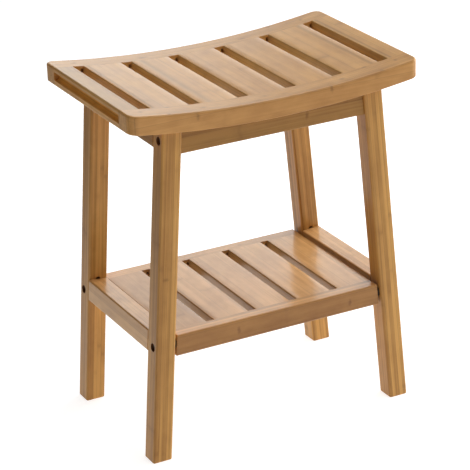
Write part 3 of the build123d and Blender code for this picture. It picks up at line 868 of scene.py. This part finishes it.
# %% The tree of a fastener
FASTENER_SIZES = ("Head Radius", "Head Height", "Bevel", "Drive Radius", "Drive Depth", "Shank Radius")


def point_value(tree, name, kind):
    """Read a named attribute of the points."""
    made = add_node(tree, "GeometryNodeInputNamedAttribute", {"Name": name}, data_type=kind)
    return made.outputs[0]


def fastener_tree(name, draw_drive):
    """Build the tree that puts a fastener on each point of the mesh it is given."""
    tree, given = geometry_tree(name, ("Sides",), FASTENER_SIZES)
    barrel_height = calc(tree, "SUBTRACT", given["Head Height"], given["Bevel"])
    inputs = {"Vertices": given["Sides"], "Radius": given["Head Radius"], "Depth": barrel_height}
    barrel = add_node(tree, "GeometryNodeMeshCylinder", inputs).outputs["Mesh"]
    bevel_bottom = calc(tree, "MULTIPLY", given["Bevel"], -1)
    barrel = move(tree, barrel, calc(tree, "MULTIPLY_ADD", barrel_height, -0.5, bevel_bottom))
    inputs = {
        "Vertices": given["Sides"],
        "Radius Top": calc(tree, "SUBTRACT", given["Head Radius"], given["Bevel"]),
        "Radius Bottom": given["Head Radius"],
        "Depth": given["Bevel"],
    }
    rim = move(tree, add_node(tree, "GeometryNodeMeshCone", inputs).outputs["Mesh"], bevel_bottom)
    inputs = {"Mesh 1": join(tree, barrel, rim), "Mesh 2": draw_drive(tree, given)}
    driven = add_node(tree, "GeometryNodeMeshBoolean", inputs, operation="DIFFERENCE", solver="EXACT")

    # a shank one unit long hangs from zero, and each point stretches its own to length
    inputs = {"Vertices": given["Sides"], "Radius": given["Shank Radius"], "Depth": 1.0}
    shank = move(tree, add_node(tree, "GeometryNodeMeshCylinder", inputs).outputs["Mesh"], -0.5)
    turn = point_value(tree, "turn", "FLOAT_VECTOR")
    turn = add_node(tree, "FunctionNodeEulerToRotation", {0: turn}).outputs[0]
    length = point_value(tree, "shank", "FLOAT")
    points = given["Geometry"]
    inputs = {"Points": points, "Instance": driven.outputs[0], "Rotation": turn}
    heads = add_node(tree, "GeometryNodeInstanceOnPoints", inputs)

    # the shank starts at the bottom of the cut, so that it leaves the cut open
    start = add_vector(tree, z=calc(tree, "MULTIPLY", given["Drive Depth"], -0.5))
    start = add_node(tree, "FunctionNodeRotateVector", {0: start, 1: turn}).outputs[0]
    points = add_node(tree, "GeometryNodeSetPosition", {"Geometry": points, "Offset": start}).outputs[0]
    length = calc(tree, "MULTIPLY_ADD", given["Drive Depth"], -0.5, length)
    stretch = add_vector(tree, 1.0, 1.0, length)
    inputs = {"Points": points, "Instance": shank, "Rotation": turn, "Scale": stretch}
    shanks = add_node(tree, "GeometryNodeInstanceOnPoints", inputs)
    all_parts = add_node(tree, "GeometryNodeJoinGeometry", {0: heads.outputs[0]})
    tree.links.new(shanks.outputs[0], all_parts.inputs[0])
    solid = add_node(tree, "GeometryNodeRealizeInstances", {"Geometry": all_parts.outputs[0]})
    finish_tree(tree, solid.outputs[0])
    return tree


# %% [markdown]
# The CAD bolts and screws are many solids in one node. Sorting their corners by which quarter of the
# stool they are in, and by height or place along the rail, gives a small box for each one. The middle of
# the box's outer face is where the driving face goes.


# %% Places of the fasteners
def boxes_of(node, key):
    """Sort a node's vertices into groups by a key, and return the box of each group in a fixed order."""
    groups = {}
    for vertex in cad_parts[node].data.vertices:
        groups.setdefault(key(vertex.co), []).append(vertex.co)
    boxes = []
    for name in sorted(groups):
        points = groups[name]
        boxes.append((Vector(map(min, zip(*points))), Vector(map(max, zip(*points)))))
    return boxes


def fastener_points(name, places):
    """Make a mesh with a vertex for each (point, turn, shank length)."""
    mesh = bpy.data.meshes.new(name)
    mesh.from_pydata([point for point, turn, shank in places], [], [])
    mesh.attributes.new("turn", "FLOAT_VECTOR", "POINT")
    mesh.attributes.new("shank", "FLOAT", "POINT")
    # both are looked up again by name, because a new attribute may move the ones made before it
    for i, (point, turn, shank) in enumerate(places):
        mesh.attributes["turn"].data[i].vector = turn
        mesh.attributes["shank"].data[i].value = shank
    return mesh


SCREW_PITCH = 80 * MM
FACE_DOWN = (math.pi, 0, 0)

half_height = (bolts_low.z + bolts_high.z) / 2
bolt_places = []
for low, high in boxes_of("frame_bolts", lambda v: (v.x > 0, v.y > 0, v.z > half_height)):
    middle = (low + high) / 2
    side = math.copysign(1, middle.x)
    outer_x = high.x if side > 0 else low.x
    face_out = (0, side * math.pi / 2, 0)
    bolt_places.append(((outer_x, middle.y, middle.z), face_out, high.x - low.x))
screw_places = []
for low, high in boxes_of("seat_screws", lambda v: (round(v.x / SCREW_PITCH), v.y > 0)):
    middle = (low + high) / 2
    screw_places.append(((middle.x, middle.y, low.z), FACE_DOWN, high.z - low.z))
print(len(bolt_places), "bolts and", len(screw_places), "screws")

# %% [markdown]
# Zinc-plated steel is grey with a faint patchy bloom, where the plating has dulled. One grey with one
# roughness would look like new chrome. So noise in small patches changes the colour and the roughness,
# and a much finer noise makes the surface a little uneven.


# %% Steel
def steel_material(name, light, dark, roughness):
    """Make a dull plated steel."""
    material = bpy.data.materials.new(name)
    material.use_nodes = True
    tree = material.node_tree
    shader = tree.nodes["Principled BSDF"]
    spot = add_node(tree, "ShaderNodeTexCoord").outputs["Object"]
    bloom = noise(tree, spot, scale=420.0, detail=4.0)
    fine_marks = noise(tree, spot, scale=2400.0, detail=2.0)
    tree.links.new(blend_colour(tree, bloom, dark, light), shader.inputs["Base Color"])
    tree.links.new(calc(tree, "MULTIPLY_ADD", bloom, 0.3, roughness), shader.inputs["Roughness"])
    inputs = {"Height": fine_marks, "Strength": 0.2, "Distance": 0.05 * MM}
    bump = add_node(tree, "ShaderNodeBump", inputs)
    tree.links.new(bump.outputs[0], shader.inputs["Normal"])
    shader.inputs["Metallic"].default_value = 1.0
    return material


ZINC_LIGHT = (0.30, 0.28, 0.25, 1)
ZINC_DARK = (0.16, 0.145, 0.13, 1)
zinc = steel_material("zinc_steel", ZINC_LIGHT, ZINC_DARK, roughness=0.32)
dress("barrel_nuts", zinc)
print("barrel nuts dressed")

# %% [markdown]
# The sizes are those of an M6 bolt with a round head and a key's socket, and of a 4 mm screw with a low
# head. The trees and the places come together here, and the new pieces take the place of the CAD ones.

# %% Make the bolts and screws
bolt_sizes = {
    "Sides": 32,
    "Head Radius": BOLT_HEAD_RADIUS,
    "Head Height": 6 * MM,
    "Bevel": 0.6 * MM,
    "Drive Radius": 2.9 * MM,
    "Drive Depth": 6 * MM,
    "Shank Radius": 3 * MM,
    "Material": zinc,
}
screw_sizes = {
    "Sides": 24,
    "Head Radius": 3.7 * MM,
    "Head Height": 2.6 * MM,
    "Bevel": 0.8 * MM,
    "Drive Radius": 2.2 * MM,
    "Drive Depth": 3 * MM,
    "Shank Radius": 2 * MM,
    "Material": zinc,
}
bolt_points = fastener_points("bolt_points", bolt_places)
bolts = grow("bolts", fastener_tree("bolts", hex_socket), bolt_sizes, bolt_points)
screw_points = fastener_points("screw_points", screw_places)
screws = grow("screws", fastener_tree("screws", cross_socket), screw_sizes, screw_points)
for piece, node in ((bolts, "frame_bolts"), (screws, "seat_screws")):
    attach(piece, "root")
    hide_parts(node)

# %% [markdown]
# ## Rubber washers
#
# The shelf hangs between the legs on its bolts, with a washer in each gap. The washers are plain rings,
# so they keep their CAD shape and need only a material. Rubber is dark and dull, but pure black would
# look like a hole. So it is a very dark brown, with a fine uneven skin made by noise.

# %% Rubber
RUBBER_DARK = (0.030, 0.019, 0.011, 1)
RUBBER_LIGHT = (0.060, 0.040, 0.025, 1)
RUBBER_SHEEN = 0.15

rubber = bpy.data.materials.new("black_rubber")
rubber.use_nodes = True
tree = rubber.node_tree
shader = tree.nodes["Principled BSDF"]
spot = add_node(tree, "ShaderNodeTexCoord").outputs["Object"]
skin = noise(tree, spot, scale=900.0, detail=4.0)
tone = blend_colour(tree, skin, RUBBER_DARK, RUBBER_LIGHT)
tree.links.new(tone, shader.inputs["Base Color"])
tree.links.new(calc(tree, "MULTIPLY_ADD", skin, 0.2, 0.6), shader.inputs["Roughness"])
bump = add_node(tree, "ShaderNodeBump", {"Height": skin, "Strength": 0.3, "Distance": 0.1 * MM})
tree.links.new(bump.outputs[0], shader.inputs["Normal"])
shader.inputs["Specular IOR Level"].default_value = RUBBER_SHEEN
dress("shelf_washers", rubber)
print("washers dressed")

# %% [markdown]
# ## Floor and light
#
# The stool stands on a white sheet that glows a little by itself, as a light table does. That keeps the
# sheet white and takes away the shadows. A backdrop that curves up behind the stool would be white as
# well, but only from the front, and a flat sheet can be seen from all sides. The glow ends on the far
# left: a shiny left face looks at the sheet there, and would turn grey with its light, where a dark end
# to the sheet lets the wood's own brown show.

# %% Floor
FLOOR_SIZE = 12.0
FLOOR_GLOW = 0.8
FAR_GLOW = 0.08
GLOW_END_WAY = (-0.89, 0.457, 0)
GLOW_FULL_TO = 0.38
GLOW_ENDS_AT = 1.0
PAPER_TONE = (0.5, 0.5, 0.5, 1)
PAPER_ROUGHNESS = 0.9
PAPER_SHEEN = 0.1
WHITE = (1, 1, 1, 1)

floor_mesh = bpy.data.meshes.new("floor")
half = FLOOR_SIZE / 2
corners = [(-half, -half, 0), (half, -half, 0), (half, half, 0), (-half, half, 0)]
floor_mesh.from_pydata(corners, [], [(0, 1, 2, 3)])
floor = bpy.data.objects.new("floor", floor_mesh)
bpy.context.scene.collection.objects.link(floor)
paper = bpy.data.materials.new("floor_paper")
paper.use_nodes = True
tree = paper.node_tree
shader = tree.nodes["Principled BSDF"]
spot = add_node(tree, "ShaderNodeTexCoord").outputs["Object"]
far_left = calc_vector(tree, "DOT_PRODUCT", spot, GLOW_END_WAY)
lit = fade(tree, far_left, GLOW_FULL_TO, GLOW_ENDS_AT)
glow = calc(tree, "MULTIPLY_ADD", lit, FLOOR_GLOW - FAR_GLOW, FAR_GLOW)
tree.links.new(glow, shader.inputs["Emission Strength"])
shader.inputs["Emission Color"].default_value = WHITE
shader.inputs["Base Color"].default_value = PAPER_TONE
shader.inputs["Roughness"].default_value = PAPER_ROUGHNESS
shader.inputs["Specular IOR Level"].default_value = PAPER_SHEEN
floor_mesh.materials.append(paper)
floor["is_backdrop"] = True
print("the floor is", FLOOR_SIZE, "m wide")

# %% [markdown]
# One small bright lamp would be simple, but it gives hard shadows and sharp glints, so all lamps are
# large and soft. One overhead lights the tops more than the sides. A wide one on the right, like a
# window, reaches the shelf under the seat. One in front lifts the near faces and a weak one on the left
# the left faces. A cool, low one at the back draws a pale shine across the tops, which would look flat
# without it. The room around adds a little light from everywhere.

# %% Lamps
LAMP_TARGET = Vector((0, 0, 0.25))
ROOM_GLOW = 0.08


def soft_lamp(name, place, size, brightness, colour=(1, 1, 1)):
    """Add a rectangular lamp that points at the stool; a brightness of 1 makes its face look white."""
    data = bpy.data.lights.new(name, "AREA")
    data.shape = "RECTANGLE"
    data.size, data.size_y = size
    data.energy = brightness * math.pi * size[0] * size[1]
    data.color = colour
    lamp = bpy.data.objects.new(name, data)
    bpy.context.scene.collection.objects.link(lamp)
    lamp.location = place
    lamp.rotation_euler = (LAMP_TARGET - Vector(place)).to_track_quat("-Z", "Y").to_euler()
    print(name, "gives", round(data.energy, 1), "W")
    return lamp


# each lamp has a name, a place, a width and a height in metres, a brightness and a colour
soft_lamp("overhead_lamp", (0.3, 0.4, 2.5), (2.8, 2.8), 0.88)
soft_lamp("window_lamp", (2.4, 0.3, 1.1), (2.8, 1.6), 5.0, (1, 0.99, 0.97))
soft_lamp("front_lamp", (0.9, -1.5, 2.4), (1.5, 1.5), 2.4, (1, 0.98, 0.95))
soft_lamp("left_lamp", (-2.2, -0.5, 0.9), (1.5, 1.2), 0.4, (1, 0.93, 0.84))
back_lamp = soft_lamp("back_lamp", (0.55, 1.0, 0.58), (1.5, 0.5), 2.7, (0.80, 0.93, 1.0))
# this lamp stands where the camera would see it
back_lamp.visible_camera = False

world = bpy.data.worlds.new("studio")
world.use_nodes = True
background = world.node_tree.nodes["Background"]
background.inputs["Color"].default_value = WHITE
background.inputs["Strength"].default_value = ROOM_GLOW
bpy.context.scene.world = world
bpy.context.scene.view_settings.view_transform = "Standard"

# %% [markdown]
# ## Last sizes
#
# The finished pieces have to fill the same box as the CAD model, so both boxes are written down.

# %% Sizes
low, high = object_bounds()
print("visual box in mm:", [round(v / MM, 1) for v in high - low])
